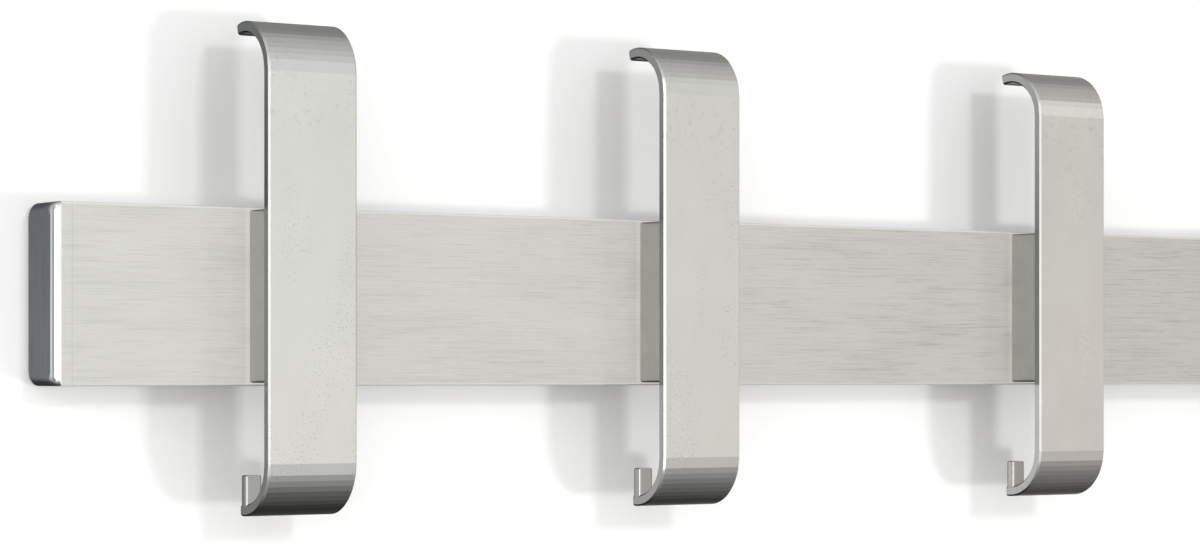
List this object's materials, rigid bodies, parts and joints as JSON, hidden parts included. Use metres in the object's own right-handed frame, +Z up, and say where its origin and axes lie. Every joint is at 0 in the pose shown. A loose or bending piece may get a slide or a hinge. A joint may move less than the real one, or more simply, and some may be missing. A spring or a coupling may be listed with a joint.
{
  "type": "wall hook rack",
  "caption": "Metal wall rack: a brushed flat rail with rounded end caps carries stand-off strip hooks, bent back over the top and into a pronged J below the rail.",
  "frame": {"origin": "on the wall plane, midway between the two wall screw holes and at mid-height of the rail", "axes": "+X along the rail to the right seen from the front, +Y into the wall (the hooks face -Y), +Z up"},
  "size_m": [0.595, 0.0367, 0.1484],
  "materials": {
    "rail": "brushed along its length, clear anodised",
    "end_cap": "polished",
    "hook": "satin, brushed across the strip",
    "block": "satin",
    "fastener": "bright zinc plated",
    "bracket": "galvanised",
    "lock_screw": "black oxide"
  },
  "bodies": {
    "root": {"end_cap_left": "end_cap", "end_cap_right": "end_cap", "hex_nuts_1": "fastener", "hex_nuts_2": "fastener", "hex_nuts_3": "fastener", "hex_nuts_4": "fastener", "hook_1": "hook", "hook_2": "hook", "hook_3": "hook", "hook_4": "hook", "lock_screw_left": "lock_screw", "lock_screw_right": "lock_screw", "rail_profile": "rail", "standoff_block_1": "block", "standoff_block_2": "block", "standoff_block_3": "block", "standoff_block_4": "block", "stud_washers_1": "fastener", "stud_washers_2": "fastener", "stud_washers_3": "fastener", "stud_washers_4": "fastener", "wall_bracket_left": "bracket", "wall_bracket_right": "bracket", "weld_studs_1": "fastener", "weld_studs_2": "fastener", "weld_studs_3": "fastener", "weld_studs_4": "fastener"}
  },
  "joints": []
}
